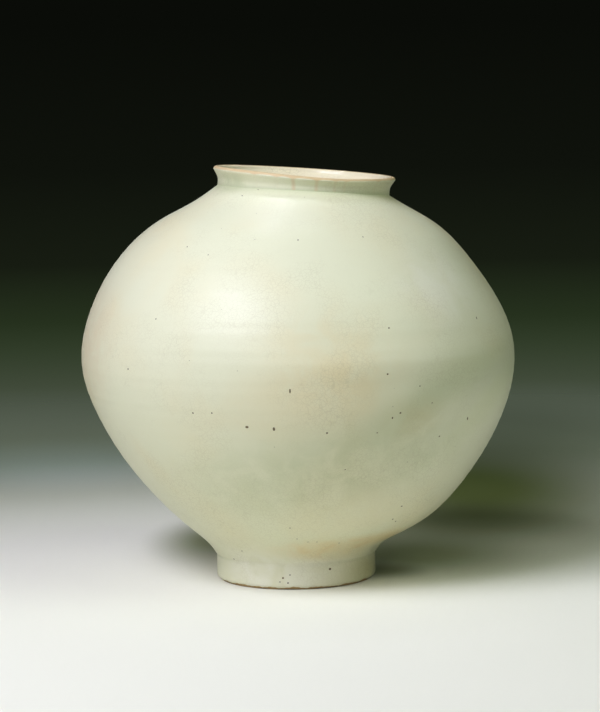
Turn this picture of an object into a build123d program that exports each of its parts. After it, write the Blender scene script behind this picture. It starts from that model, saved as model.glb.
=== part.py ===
from build123d import *
import os
from math import atan2, cos, radians, sin

os.makedirs("parts", exist_ok=True)

# Korean moon jar: two bowls thrown on the wheel and luted rim to rim with slip, a foot ring luted round a
# boss under the lower bowl, a mouth collar luted on the upper bowl, and a clear glaze inside, outside and
# under the foot. Lengths are in millimetres and angles in degrees. The origin is the centre of the foot's
# standing face, +Z is up, +X is to the right of the jar's front and +Y goes from its front to its back.

# Sizes over the glaze
belly_diameter = 439.0
body_height = 369.0  # from the foot seat to the collar seat, up the middle
foot_diameter = 162.0
foot_height = 25.0  # from the standing face to the foot seat
neck_diameter = 174.0  # at the collar seat
lip_flare = 5.0  # how far the lip stands out past the neck
collar_height = 19.5  # from the collar seat to the crest of the lip

# How far the hand-built body has settled to one side by the time it reaches the collar
collar_shift = 13.2
collar_lean_angle = 4.4

# Walls, coats and joints
glaze = 0.8
bowl_wall = 8.0
seam_wall = 12.0  # the bowls' rims are thicker, to give the seam its land
floor_thickness = 13.0
collar_wall = 7.5
collar_sweep = 13.0  # radius of the turn from its upright wall into its flare
lip_wall = 4.8
foot_wall = 11.8  # at the foot seat
slip = 1.2

# The foot ring and the recess inside it
recess_depth = 14.0
foot_bare = 2.2  # height of bare clay left above the standing face, outside
recess_bare = 5.0  # and inside
foot_bevel = 3.6  # the outer edge is worn back this far
foot_bevel_height = 6.0
foot_draft = 2.0  # the inner wall opens this far from the recess floor down to the standing face
foot_inner_chamfer = 1.4

# The inside of the lower bowl
floor_radius = 58.0

# Rings scored into each joint's lands, which the slip fills
score_depth = 1.0
score_width = 1.6
seam_score_spacing = 5.0
collar_score_depth = 0.8

# The body's outline from the foot seat up to the collar seat. Each row is one level, with its share of the
# body's height, of the swell out to the belly from the foot below and from the neck above, and of the
# collar's shift and lean. The seam between the bowls is at the widest level.
outline_shares = [
    (0.000, 0.000, 0.00, 0.00),
    (0.025, 0.045, 0.00, 0.06),
    (0.063, 0.172, 0.00, 0.38),
    (0.135, 0.424, 0.04, 0.82),
    (0.245, 0.680, 0.12, 0.76),
    (0.380, 0.888, 0.24, 0.60),
    (0.545, 1.000, 0.41, 0.34),
    (0.705, 0.882, 0.56, 0.56),
    (0.825, 0.660, 0.65, 0.70),
    (0.912, 0.402, 0.80, 0.58),
    (0.967, 0.140, 0.94, 0.68),
    (1.000, 0.000, 1.00, 1.00),
]
below_seam_rows = 6
foot_rows = 2  # the rows that the bowl's floor takes the place of inside
collar_knee_share = 0.40  # where the collar's wall turns outwards, as a share of the collar's height

foot_radius = foot_diameter / 2
neck_radius = neck_diameter / 2
lip_radius = neck_radius + lip_flare
clay_floor = recess_depth + glaze + floor_thickness


def outline():
    """The glazed body's levels, as (height, radius, shift, lean)."""
    levels = []
    for row, (height_share, swell_share, shift_share, lean_share) in enumerate(outline_shares):
        end_radius = foot_radius if row <= below_seam_rows else neck_radius
        swell = (belly_diameter / 2 - end_radius) * swell_share
        levels.append(
            (
                foot_height + body_height * height_share,
                end_radius + swell,
                collar_shift * shift_share,
                collar_lean_angle * lean_share,
            )
        )
    return levels


def level_plane(height, shift, lean):
    """The plane of one level: leaning lowers its right-hand side."""
    tilt = radians(lean)
    return Plane(
        origin=(shift, 0, height),
        x_dir=(cos(tilt), 0, -sin(tilt)),
        z_dir=(sin(tilt), 0, cos(tilt)),
    )


def inset_levels(depth, seam_depth, end_depth):
    """The outline moved in square to itself, by its own depth at the seam and flat along both seats."""
    levels = outline()
    last = len(levels) - 1
    moved = []
    for row, (height, radius, shift, lean) in enumerate(levels):
        if row in (0, last):
            moved.append((height, radius - end_depth, shift, lean))
            continue
        below, above = levels[row - 1], levels[row + 1]
        slope = atan2(above[1] - below[1], above[0] - below[0])
        wall = seam_depth if row == below_seam_rows else depth
        climb = wall * sin(slope)
        tilt = radians(lean)
        moved.append(
            (
                height + climb * cos(tilt),
                radius - wall * cos(slope),
                shift + climb * sin(tilt),
                lean,
            )
        )
    return moved


def hollow_levels(coat):
    """The levels of the bowls' inside, with a coat on it: a flat floor, then the walls up to the neck."""
    levels = inset_levels(
        glaze + bowl_wall + coat, glaze + seam_wall + coat, glaze + collar_wall + coat
    )
    floor = (clay_floor + coat, floor_radius - coat, 0, 0)
    return [floor] + levels[foot_rows:]


def form(levels):
    """The solid through a stack of round levels."""
    with BuildPart() as stack:
        for height, radius, shift, lean in levels:
            with BuildSketch(level_plane(height, shift, lean)):
                Circle(radius)
        loft()
    return stack.part


def part_of(solid, *cuts):
    """What is left of a solid past each cut, a plane and the side of it to keep."""
    for plane, side in cuts:
        solid = solid.split(plane, keep=side)
    return solid


def half_section(plane):
    """The plane of a turned piece's section, which stands on another plane: x is out from its axis, y up."""
    return Plane(origin=plane.origin, x_dir=plane.x_dir, z_dir=-plane.y_dir)


def own_axis(section):
    """The axis that a section turns about."""
    return Axis(section.origin, section.y_dir)


def flat_end(solid, plane):
    """A form's flat end on a plane."""
    return solid.faces().filter_by(GeomType.PLANE).sort_by_distance(plane.origin)[0]


def land(plane, outside, inside, score_radii=(), ridge=0):
    """The flat land between two forms on a plane, as its faces, with V-shaped rings about the plane's axis.

    The radii run from the outside in. A ring is a ridge of that height, or a groove if it is negative.
    """
    section = half_section(plane)
    faces = []
    rim = flat_end(outside, plane).outer_wire()
    for radius in score_radii:
        with BuildLine(section) as profile:
            Polyline(
                (radius + score_width / 2, 0),
                (radius, ridge),
                (radius - score_width / 2, 0),
            )
        score = Shell.revolve(profile.line, 360, own_axis(section))
        circles = score.edges().filter_by(GeomType.CIRCLE).sort_by(SortBy.RADIUS)
        faces += [Face(rim, [Wire([circles[-1]])]), *score.faces()]
        rim = Wire([circles[0]])
    return faces + [Face(rim, [flat_end(inside, plane).outer_wire()])]


def walls(outside, inside, lands):
    """The solid between a form and a smaller one inside it, which both end on each land's plane."""
    faces = list(outside.faces()) + list(inside.faces())
    for plane, land_faces in lands:
        ends = [flat_end(outside, plane), flat_end(inside, plane)]
        faces = [face for face in faces if not any(face.is_same(end) for end in ends)]
        faces += land_faces
    return Solid(Shell(faces))


levels = outline()
seam_height, seam_radius, seam_shift, seam_lean = levels[below_seam_rows]
seat_height, seat_radius, seat_shift, seat_lean = levels[-1]

glazed_form = form(levels)
clay_form = form(inset_levels(glaze, glaze, glaze))
hollow_form = form(hollow_levels(0))
glazed_hollow_form = form(hollow_levels(glaze))
foot_seat = Plane.XY.offset(foot_height)
collar_seat = level_plane(seat_height, seat_shift, seat_lean)

# The foot: a ring round the boss, standing on a flat face, with slip above it and inside it
foot_section = half_section(Plane.XY)
foot_clay_radius = foot_radius - glaze
ring_top = foot_height - slip
socket_radius = foot_clay_radius - foot_wall
boss_radius = socket_radius - slip
boss_bottom = recess_depth + glaze

with BuildSketch() as foot_profile:
    with BuildLine():
        Polyline(
            (socket_radius, ring_top),
            (socket_radius, boss_bottom),
            (socket_radius + foot_draft, foot_inner_chamfer),
            (socket_radius + foot_draft + foot_inner_chamfer, 0),
            (foot_clay_radius - foot_bevel, 0),
        )
        Line((foot_clay_radius, foot_bevel_height), (foot_clay_radius, ring_top))
        Line((foot_clay_radius, ring_top), (socket_radius, ring_top))
        RadiusArc(
            (foot_clay_radius - foot_bevel, 0),
            (foot_clay_radius, foot_bevel_height),
            -(foot_bevel + foot_bevel_height),
        )
    make_face()

with BuildSketch() as foot_slip_profile:
    with BuildLine():
        Polyline(
            (boss_radius, boss_bottom),
            (socket_radius, boss_bottom),
            (socket_radius, ring_top),
            (foot_clay_radius, ring_top),
            (foot_clay_radius, foot_height),
            (boss_radius, foot_height),
            close=True,
        )
    make_face()

with BuildPart() as foot_ring:
    with BuildSketch(foot_section):
        add(foot_profile.sketch)
    revolve(axis=own_axis(foot_section))

with BuildPart() as foot_slip:
    with BuildSketch(foot_section):
        add(foot_slip_profile.sketch)
    revolve(axis=own_axis(foot_section))

# The seam between the bowls: slip between their rims, keyed into the rings scored in both
lower_rim = level_plane(seam_height, seam_shift, seam_lean).offset(-slip / 2)
upper_rim = level_plane(seam_height, seam_shift, seam_lean).offset(slip / 2)
seam_mid_radius = seam_radius - glaze - seam_wall / 2
seam_score_radii = [
    seam_mid_radius + seam_score_spacing / 2,
    seam_mid_radius - seam_score_spacing / 2,
]
collar_mid_radius = neck_radius - glaze - collar_wall / 2


def lower_land(outside, inside):
    """The lower bowl's rim, scored."""
    return lower_rim, land(lower_rim, outside, inside, seam_score_radii, -score_depth)


def upper_land(outside, inside):
    """The upper bowl's rim, scored."""
    return upper_rim, land(upper_rim, outside, inside, seam_score_radii, score_depth)


clay_below = part_of(clay_form, (lower_rim, Keep.BOTTOM))
hollow_below = part_of(hollow_form, (lower_rim, Keep.BOTTOM))
clay_within = part_of(clay_form, (lower_rim, Keep.TOP), (upper_rim, Keep.BOTTOM))
hollow_within = part_of(hollow_form, (lower_rim, Keep.TOP), (upper_rim, Keep.BOTTOM))
clay_above = part_of(clay_form, (upper_rim, Keep.TOP))
hollow_above = part_of(hollow_form, (upper_rim, Keep.TOP))

with BuildPart() as lower_bowl:
    add(walls(clay_below, hollow_below, [lower_land(clay_below, hollow_below)]))
    with BuildSketch(foot_seat):
        Circle(boss_radius)
    extrude(amount=boss_bottom - foot_height)

with BuildPart() as belly_slip:
    belly_lands = [lower_land(clay_within, hollow_within), upper_land(clay_within, hollow_within)]
    add(walls(clay_within, hollow_within, belly_lands))

with BuildPart() as upper_bowl:
    collar_land = land(collar_seat, clay_above, hollow_above, [collar_mid_radius], -collar_score_depth)
    upper_lands = [upper_land(clay_above, hollow_above), (collar_seat, collar_land)]
    add(walls(clay_above, hollow_above, upper_lands))

# The collar: turned about its own leaning axis, with a flared wall and a rounded lip, on slip keyed into
# both lands
collar_section = half_section(collar_seat)
collar_outer_radius = neck_radius - glaze
collar_inner_radius = collar_outer_radius - collar_wall
lip_outer_radius = lip_radius - glaze
lip_turn = lip_wall / 2
lip_level = collar_height - glaze - lip_turn
crest_radius = lip_outer_radius - lip_turn
knee_level = collar_height * collar_knee_share
over_slip = Plane.XZ.offset(-slip)  # on the profile, whose height runs along Y

with BuildSketch() as collar_and_slip:
    with BuildLine():
        Line((collar_inner_radius, 0), (collar_outer_radius, 0))
        FilletPolyline(
            (collar_outer_radius, 0),
            (collar_outer_radius, knee_level),
            (lip_outer_radius, lip_level),
            radius=collar_sweep,
        )
        ThreePointArc(
            (lip_outer_radius, lip_level),
            (crest_radius, lip_level + lip_turn),
            (lip_outer_radius - lip_wall, lip_level),
        )
        FilletPolyline(
            (lip_outer_radius - lip_wall, lip_level),
            (collar_inner_radius, knee_level),
            (collar_inner_radius, 0),
            radius=collar_sweep,
        )
    make_face()

with BuildSketch() as collar_key:
    with BuildLine():
        Polyline(
            (collar_mid_radius - score_width / 2, 0),
            (collar_mid_radius, -collar_score_depth),
            (collar_mid_radius + score_width / 2, 0),
            (collar_mid_radius + score_width / 2, slip),
            (collar_mid_radius, slip + collar_score_depth),
            (collar_mid_radius - score_width / 2, slip),
            close=True,
        )
    make_face()

with BuildSketch() as collar_profile:
    add(collar_and_slip.sketch)
    split(bisect_by=over_slip, keep=Keep.BOTTOM)
    add(collar_key.sketch, mode=Mode.SUBTRACT)

with BuildSketch() as collar_slip_profile:
    add(collar_and_slip.sketch)
    split(bisect_by=over_slip, keep=Keep.TOP)
    add(collar_key.sketch)

with BuildPart() as mouth_collar:
    with BuildSketch(collar_section):
        add(collar_profile.sketch)
    revolve(axis=own_axis(collar_section))

with BuildPart() as collar_slip:
    with BuildSketch(collar_section):
        add(collar_slip_profile.sketch)
    revolve(axis=own_axis(collar_section))

# The glaze: one coat outside from above the foot's bare edge to the crest of the lip, one inside from the
# crest down over the floor, and one in the recess under the foot
with BuildSketch() as collar_coat:
    add(collar_and_slip.sketch)
    offset(amount=glaze)
    add(collar_and_slip.sketch, mode=Mode.SUBTRACT)
    split(bisect_by=Plane.XZ, keep=Keep.BOTTOM)

# Everything on the mouth's side of a line up the middle of the collar's wall and of its lip
with BuildSketch() as mouth_side:
    with BuildLine():
        Polyline(
            (0, 0),
            (collar_mid_radius, 0),
            (crest_radius, lip_level),
            (crest_radius, collar_height),
            (0, collar_height),
            close=True,
        )
    make_face()

# The foot's coat follows its worn edge in, and ends above the standing face
with BuildSketch() as foot_coat:
    add(foot_profile.sketch)
    add(foot_slip_profile.sketch)
    offset(amount=glaze)
    add(foot_profile.sketch, mode=Mode.SUBTRACT)
    add(foot_slip_profile.sketch, mode=Mode.SUBTRACT)
    with Locations((foot_clay_radius - foot_bevel, foot_bare)):
        Rectangle(
            foot_bevel + glaze,
            foot_height - foot_bare,
            align=(Align.MIN, Align.MIN),
            mode=Mode.INTERSECT,
        )


def collar_skin(side_mode):
    """The collar's coat as far as the crest of its lip, on the mouth's side of its wall or the other."""
    with BuildPart() as skin:
        with BuildSketch(collar_section):
            add(collar_coat.sketch)
            add(mouth_side.sketch, mode=side_mode)
        revolve(axis=own_axis(collar_section))
    return skin.part


with BuildPart() as outer_glaze:
    body_lands = [(plane, land(plane, glazed_form, clay_form)) for plane in (foot_seat, collar_seat)]
    add(walls(glazed_form, clay_form, body_lands))
    with BuildSketch(foot_section):
        add(foot_coat.sketch)
    revolve(axis=own_axis(foot_section))
    add(collar_skin(Mode.SUBTRACT))

with BuildPart() as inner_glaze:
    neck_land = land(collar_seat, hollow_form, glazed_hollow_form)
    add(walls(hollow_form, glazed_hollow_form, [(collar_seat, neck_land)]))
    add(collar_skin(Mode.INTERSECT))

with BuildPart() as base_glaze:
    draft_share = (boss_bottom - recess_bare) / (boss_bottom - foot_inner_chamfer)
    with BuildSketch(foot_section):
        with BuildLine():
            Polyline(
                (0, boss_bottom),
                (socket_radius, boss_bottom),
                (socket_radius + foot_draft * draft_share, recess_bare),
                (socket_radius + foot_draft * draft_share - glaze, recess_bare),
                (socket_radius - glaze, recess_depth),
                (0, recess_depth),
                close=True,
            )
        make_face()
    revolve(axis=own_axis(foot_section))

for name, piece in {
    "lower_bowl": lower_bowl,
    "upper_bowl": upper_bowl,
    "belly_slip": belly_slip,
    "mouth_collar": mouth_collar,
    "collar_slip": collar_slip,
    "foot_ring": foot_ring,
    "foot_slip": foot_slip,
    "outer_glaze": outer_glaze,
    "inner_glaze": inner_glaze,
    "base_glaze": base_glaze,
}.items():
    piece.part.label = name
    export_step(piece.part, f"parts/{name}.step")
    print(name, len(piece.part.solids()), "solid", round(piece.part.volume), "mm3")
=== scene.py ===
from functools import partial
from math import pi, radians

import bpy
import numpy as np
from bpy.props import FloatProperty, FloatVectorProperty, PointerProperty
from mathutils import Matrix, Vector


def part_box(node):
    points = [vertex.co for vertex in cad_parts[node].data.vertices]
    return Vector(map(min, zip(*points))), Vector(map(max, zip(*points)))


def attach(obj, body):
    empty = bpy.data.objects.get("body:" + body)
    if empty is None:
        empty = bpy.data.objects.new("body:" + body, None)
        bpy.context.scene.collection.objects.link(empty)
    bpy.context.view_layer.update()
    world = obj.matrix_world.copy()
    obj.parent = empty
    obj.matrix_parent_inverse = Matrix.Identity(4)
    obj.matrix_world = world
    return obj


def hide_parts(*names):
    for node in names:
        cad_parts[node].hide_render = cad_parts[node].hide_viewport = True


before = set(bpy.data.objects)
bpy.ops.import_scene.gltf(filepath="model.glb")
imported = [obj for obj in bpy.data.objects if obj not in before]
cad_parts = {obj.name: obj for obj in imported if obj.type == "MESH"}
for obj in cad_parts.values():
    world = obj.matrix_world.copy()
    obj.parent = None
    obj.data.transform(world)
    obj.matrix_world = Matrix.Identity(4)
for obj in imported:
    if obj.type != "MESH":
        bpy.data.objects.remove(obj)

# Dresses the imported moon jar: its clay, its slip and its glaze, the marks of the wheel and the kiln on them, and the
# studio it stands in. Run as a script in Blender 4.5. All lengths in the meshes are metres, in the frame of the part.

bl_info = {
    "name": "Korean Moon Jar",
    "version": (1, 0, 0),
    "blender": (4, 5, 0),
    "location": "3D View > Sidebar > Moon Jar",
    "description": "Throws, lutes and glazes a round white porcelain jar and sets it in a plain studio",
    "category": "Add Mesh",
}

MM = 0.001
GROUND = (0, 0, 0)
SHARP = radians(42)  # an edge that bends more than this stays sharp
GLAZED_LOW, GLAZED_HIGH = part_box("outer_glaze")

# The jar's outline, as shares of the height, of the swell out to the belly, and of the collar's shift and lean
OUTLINE = np.array(
    [
        (0.000, 0.000, 0.00, 0.00),
        (0.025, 0.045, 0.00, 0.06),
        (0.063, 0.172, 0.00, 0.38),
        (0.135, 0.424, 0.04, 0.82),
        (0.245, 0.680, 0.12, 0.76),
        (0.380, 0.888, 0.24, 0.60),
        (0.545, 1.000, 0.41, 0.34),
        (0.705, 0.882, 0.56, 0.56),
        (0.825, 0.660, 0.65, 0.70),
        (0.912, 0.402, 0.80, 0.58),
        (0.967, 0.140, 0.94, 0.68),
        (1.000, 0.000, 1.00, 1.00),
    ]
)
SEAM_ROW = 6
FLOOR_ROW = 2

# How much of the collar's shift the belly has, to the axis that its angles are measured round
BELLY_SHIFT = 0.4

# The fold's course: the angle from the front in degrees, then the height of its floor and the reach of its upper side,
# in millimetres. The floor climbs and the upper side steepens from the front to the right
FOLD_COURSE = np.array(
    [
        (-180, 120, 34), (0, 124, 34), (25, 136, 34), (38, 148, 33),
        (50, 170, 29), (64, 202, 22), (78, 220, 18), (180, 240, 18),
    ]
)  # fmt: skip
FOLD_LOWER_REACH = 23 * MM

# Where the fold, its ridge and the painted shade along it begin, are full, fade and end, in degrees from the front
FOLD_SIDES, RIDGE_SIDES, FOLD_SHADE_SIDES = (-4, 38, 52, 92), (-25, 15, 45, 95), (4, 34, 75, 115)
RIDGE_HEIGHT, RIDGE_REACH = 234 * MM, 15 * MM

# The middle of the painted shade along the fold, a darker, greener band: angles in degrees, heights in millimetres
FOLD_SHADE_ANGLES = (0, 25, 33, 43, 60, 80)
FOLD_SHADE_HEIGHTS = (150, 173, 198, 214, 221, 224)

# Low waves round the belly: size, times round, start in radians, and climb in radians a metre. Then how far apart the
# rings are that the fingers left, the strong and the faint ones, in millimetres
WAVES = ((0.6, 2, 0.7, 9), (0.4, 3, -1.1, -16), (0.25, 5, 2, 31))
RING_STEPS = (13.7, 9.1)

# Brown streaks down the collar, where the glaze ran thin: their width in degrees, how thin they are beside the lip,
# and for each the angle from the front in degrees, and its strength
STREAK_WIDTH, STREAK_SHARE = 2.3, 0.62
STREAKS = ((-6.5, 1.0), (8.1, 0.95), (-32, 0.6), (-17, 0.6), (20, 0.75), (27, 0.7), (53, 0.6), (151, 0.9))

# Iron spots that the front shows: where the photograph has them, in pixels, and their width and length in millimetres
FRONT_SPOTS = np.array(
    [
        (187, 247, 1.4, 1.4), (242, 197, 1.7, 1.3), (258, 190, 1.4, 1.3), (298, 240, 1.6, 1.6), (363, 237, 1.4, 1.4),
        (477, 318, 1.4, 3.1), (389, 328, 1.8, 1.7), (156, 319, 1.4, 1.4), (128, 369, 1.7, 1.7), (387, 374, 2.0, 1.8),
        (290, 391, 1.7, 4.6), (420, 386, 1.4, 1.4), (193, 413, 1.8, 1.8), (212, 413, 1.6, 1.6), (247, 427, 3.4, 2.6),
        (274, 429, 2.4, 4.1), (327, 433, 2.2, 1.7), (401, 413, 2.2, 1.9), (393, 418, 1.6, 2.4), (433, 403, 1.3, 1.3),
        (475, 419, 1.6, 3.4), (447, 437, 2.0, 1.7), (378, 433, 1.4, 1.4), (330, 569, 2.8, 2.4), (283, 578, 2.2, 2.2),
        (288, 583, 1.8, 1.6), (290, 575, 1.3, 1.4), (280, 582, 1.4, 1.2), (234, 559, 1.8, 1.3), (242, 551, 1.7, 1.3),
        (290, 528, 1.8, 1.4), (297, 539, 1.4, 1.3), (308, 542, 1.4, 1.4), (317, 542, 1.3, 1.3), (339, 543, 1.7, 1.3),
        (402, 506, 2.3, 1.6), (393, 519, 1.7, 1.7), (396, 521, 1.3, 2.2), (208, 255, 1.2, 1.2), (346, 470, 1.2, 1.3),
    ]
)  # fmt: skip

# The other spots: how many, between which heights, and the seed of their draw
OTHER_SPOTS, SPOTS_LOW, SPOTS_HIGH, SPOT_SEED = 130, 30 * MM, 385 * MM, 29

# Tinted places on the outer glaze: centre and reach in millimetres, the colour that they take, and how strongly.
# Painted light on the foot's front and the upper right front, painted shade on the fold, low on the front, on the
# foot's right and under the collar on the left, stains where soil has soaked in, and one blush down the left side
GLAZE_PATCHES = (
    # Painted light on the front of the foot and the low body
    ((-20, -85, 16), (125, 75, 46), "painted_light", 1.3),
    # Painted shade on the lower front of the fold, and low on the front of the belly
    ((60, -150, 148), (150, 130, 58), "pool", 0.6),
    ((-20, -165, 120), (135, 110, 55), "pool", 0.4),
    # Painted shade in the fold's darkest place, in the pool's and the stain's colours
    ((110, -170, 184), (48, 60, 32), "pool", 0.45),
    ((110, -170, 184), (48, 60, 32), "stain_and_shade", 0.25),
    # Painted light on the upper right front
    ((135, -130, 300), (70, 90, 60), "painted_light", 0.7),
    ((40, -205, 236), (95, 90, 70), "stain_and_shade", 0.4),
    ((20, -205, 262), (100, 80, 40), "cream", 0.5),
    ((46, -102, 42), (95, 70, 20), "stain_and_shade", 1.1),
    ((88, -75, 50), (55, 70, 14), "stain_and_shade", 0.9),
    # Painted shade on the foot's right side, in the pool's and the stain's colours
    ((80, -45, 14), (42, 60, 22), "pool", 0.9),
    ((80, -45, 14), (42, 60, 22), "stain_and_shade", 0.4),
    # Painted shade under the collar on the left
    ((-68, -50, 403), (50, 60, 16), "pool", 0.9),
    ((-205, -60, 250), (60, 120, 100), "blush", 0.5),
    ((120, 160, 120), (110, 90, 60), "stain_and_shade", 0.3),
    ((-90, 185, 300), (120, 80, 60), "cream", 0.5),
    ((-120, 90, 60), (80, 90, 22), "stain_and_shade", 0.35),
)

# Where the crackle is soiled most, low on the front: centre and reach in millimetres
SOILED_PLACE = (-20, -130, 95), (150, 130, 90)

# Painted shadow and painted light on the paper: centre and reach in millimetres, the colour, how strongly, and how it
# is mixed. The painted shadow makes the jar's shadow deeper than the lamps' spill leaves it, down to olive behind it on
# the right, and the last one paints the far floor on the left lighter
FLOOR_PATCHES = (
    ((230, 600, 0), (300, 700, 100), "shadow", 1.0, "MULTIPLY"),
    ((200, 330, 0), (160, 200, 100), "shadow", 0.6, "MULTIPLY"),
    ((130, 110, 0), (175, 200, 100), "shadow", 0.8, "MULTIPLY"),
    ((88, 20, 0), (60, 60, 100), "shadow", 0.7, "MULTIPLY"),
    ((-93, 230, 0), (88, 215, 100), "shadow", 0.85, "MULTIPLY"),
    ((330, 1250, 0), (260, 520, 100), "shadow", 0.4, "MULTIPLY"),
    # Painted light: the far floor on the left, divided by a pale colour, lighter and bluer
    ((-330, 900, 0), (300, 340, 100), "painted_far_light", 0.8, "DIVIDE"),
)

# From the middle of the paper's lit part to the jar's axis, in metres
LIT_MIDDLE = (0, 0.35, 0)

# The lamps: place, the point that each faces, width and height, all in metres, tint, and the angle lit, in degrees
JAR_MIDDLE = (0, 0, 0.24)
LAMPS = {
    "key": ((-0.87, -1.11, 1.51), JAR_MIDDLE, (1.0, 0.9), "f0f0ff", 180),
    "right": ((1.274, -0.892, 1.796), JAR_MIDDLE, (1.4, 1.4), "f4ffe6", 180),
    "left": ((-1.696, -0.299, 1.043), JAR_MIDDLE, (1.2, 1.2), "fff8e6", 180),
    "top": ((-0.15, 0.5, 1.9), (0, -0.03, 0.39), (0.2, 0.2), "eef0ff", 11),
    "rim": ((1.3, 1.0, 1.0), JAR_MIDDLE, (0.2, 0.9), "e6f4ff", 180),
    "low": ((-0.5, -1.95, 0.24), (0, 0, 0.02), (1.2, 0.16), "fffbe8", 18),
}

# The backdrop's colours from the floor up, as shares of the way, from looking 0.22 down to 0.08 up in a unit ray
BACKDROP_FROM, BACKDROP_TO = -0.22, 0.08
BACKDROP = (
    (0.10, "e9eae5"), (0.19, "c5c3b8"), (0.24, "999d92"), (0.32, "667269"), (0.40, "3d4935"),
    (0.49, "26311e"), (0.57, "171c12"), (0.70, "0f120c"), (0.90, "0a0c08"),
)  # fmt: skip

# The camera: its place in metres, how far it looks down, its roll, and its lens, in pixels of the frame's height
FRAME = (600, 712)
EYE = (0.0071, -2.4, 0.44)
EYE_DIP, EYE_ROLL = radians(5.1), radians(-0.9)
EYE_LENS = 2370
SENSOR = 36

# How many columns of faces run round the small pieces, the bowls, the inner glaze, and what the eye comes close to
ROUND_SMALL, ROUND_BOWL, ROUND_INSIDE, ROUND_OUTSIDE = 144, 180, 240, 360

# The grains of sand in the fired clays
BODY_GRIT, SLIP_GRIT, FOOT_GRIT = 1.2 * MM, 0.6 * MM, 0.9 * MM

# Node settings that are used again and again
SMOOTHLY = {"interpolation_type": "SMOOTHSTEP"}
TIMES, PLUS, LARGER = ({"operation": name} for name in ("MULTIPLY", "ADD", "MAXIMUM"))


def linear(code):
    """An sRGB colour code such as "e8e9d6" as linear red, green and blue."""
    srgb = np.array([int(code[i : i + 2], 16) for i in (0, 2, 4)]) / 255
    return tuple(np.where(srgb <= 0.04045, srgb / 12.92, ((srgb + 0.055) / 1.055) ** 2.4))


def length(name, description, default):
    """A size that the user can change, given here in millimetres."""
    return FloatProperty(name=name, description=description, default=default * MM, min=0, unit="LENGTH", precision=4)


def colour(name, description, code):
    """A colour that the user can change, given here as its sRGB code."""
    return FloatVectorProperty(
        name=name, description=description, default=linear(code), min=0, max=1, size=3, subtype="COLOR"
    )


def share(name, description, default, high=1.0):
    """A plain number that the user can change."""
    return FloatProperty(name=name, description=description, default=default, min=0, max=high, subtype="FACTOR")


def lamp_power(name, description, default):
    """A lamp's power in watts, which the user can change."""
    return FloatProperty(name=name, description=description, default=default, min=0, unit="POWER")


class MoonJarForm(bpy.types.PropertyGroup):
    """The jar's sizes over its glaze, and how far it has settled to one side."""

    belly: length("Belly", "Widest diameter", (GLAZED_HIGH.y - GLAZED_LOW.y) / MM)
    body: length("Body height", "From the foot seat to the collar seat, up the middle", 369)
    foot: length("Foot", "Diameter of the foot ring", 162)
    foot_height: length("Foot height", "From the standing face to the body", 25)
    neck: length("Neck", "Diameter at the collar seat", 174)
    flare: length("Flare", "How far the lip stands out past the neck", 5)
    collar: length("Collar height", "From the collar seat to the crest of the lip", 19.5)
    shift: length("Shift", "How far the collar has moved to the right", 13.2)
    lean: FloatProperty(
        name="Lean", description="How far the collar leans to the right", default=radians(4.4), unit="ROTATION"
    )
    nod: length("Nod", "How far the lip's back stands up and its front dips", 2.0)
    seat_nod: length("Seat nod", "How far the neck's front stands up and its back dips", 1.2)
    fold: length("Fold", "Depth of the fold that sank into the belly's right side in the kiln", 9.0)
    ridge: length("Ridge", "Height of the ridge that the seam left over the fold", 2.2)
    dip: length("Dip", "How far the lip sags at the front", 3.0)
    warp: length("Warp", "How far the hand-thrown belly strays from a true round", 0.5)
    rings: length("Throwing rings", "Height of the rings that the potter's fingers left", 0.07)


class MoonJarWalls(bpy.types.PropertyGroup):
    """The thickness of the jar's walls, coats and joints."""

    glaze: length("Glaze", "Thickness of the glaze", 0.8)
    bowl: length("Bowl wall", "Thickness of the bowls' walls", 8)
    seam: length("Seam wall", "Thickness of the walls at the seam between the bowls", 12)
    floor: length("Floor", "Thickness of the jar's floor", 13)
    floor_radius: length("Floor radius", "Radius of the flat floor inside", 58)
    collar: length("Collar wall", "Thickness of the collar at its seat", 7.5)
    lip: length("Lip wall", "Thickness of the collar at its lip", 4.8)
    foot: length("Foot wall", "Thickness of the foot ring at its seat", 11.8)
    slip: length("Slip", "Thickness of the slip in each joint", 1.2)
    recess: length("Recess", "Depth of the hollow under the foot", 14)
    bevel: length("Bevel", "How far the foot's outer edge is worn back", 3.6)
    bevel_height: length("Bevel height", "How far up the foot's outer edge is worn", 6)
    bare: length("Bare edge", "Height of the foot's edge that the glaze leaves bare", 2.2)
    groove: length("Groove", "Depth of the turned line between body and foot", 0.2)


class MoonJarFinish(bpy.types.PropertyGroup):
    """The colours of the fired glaze, clay and slip, and of the light and shade painted on the glaze."""

    glaze: colour("Glaze", "Clear glaze over the white body, faintly green", "e9eacd")
    cream: colour("Cream", "Where the glaze fired warmer", "ebe4c0")
    # Painted light: this whiter colour is laid on the front of the foot and the low body, and on the upper right front
    painted_light: colour("Pale", "Where the glaze lies thick and white, low on the body and on the foot", "f6f6e4")
    # Also the colour of painted shade along the fold, low on the front, on the foot's right side and under the collar
    # on the left
    pool: colour("Pool", "Where the glaze has run together and shows greener", "c3cba6")
    # Also laid as painted shade in the fold's darkest place and on the foot's right side
    stain_and_shade: colour("Stain", "Yellow-brown stain that soaked in through the crackle", "e6d2a0")
    blush: colour("Blush", "Pinkish beige along one side", "e0ccab")
    lip: colour("Lip", "Where the glaze is thin and the clay burns through", "dcc397")
    crackle: colour("Crackle", "Soil in the glaze's crackle", "9c8f66")
    inside: colour("Inside", "The glaze inside the mouth, soaked with age", "faeecd")
    spot: colour("Iron spot", "Iron that has burst through the glaze", "4a4029")
    bare_clay: colour("Bare clay", "The unglazed edge of the foot", "cdb080")
    soil: colour("Soil", "Dirt on the foot's standing face", "5e4e32")
    body: colour("Body clay", "White porcelain body under the glaze", "ded4bd")
    slip: colour("Slip", "Fine clay that joins the pieces", "d8cdb2")
    sheen: share("Gloss", "How much of the glaze's surface is glassy", 0.14)


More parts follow.
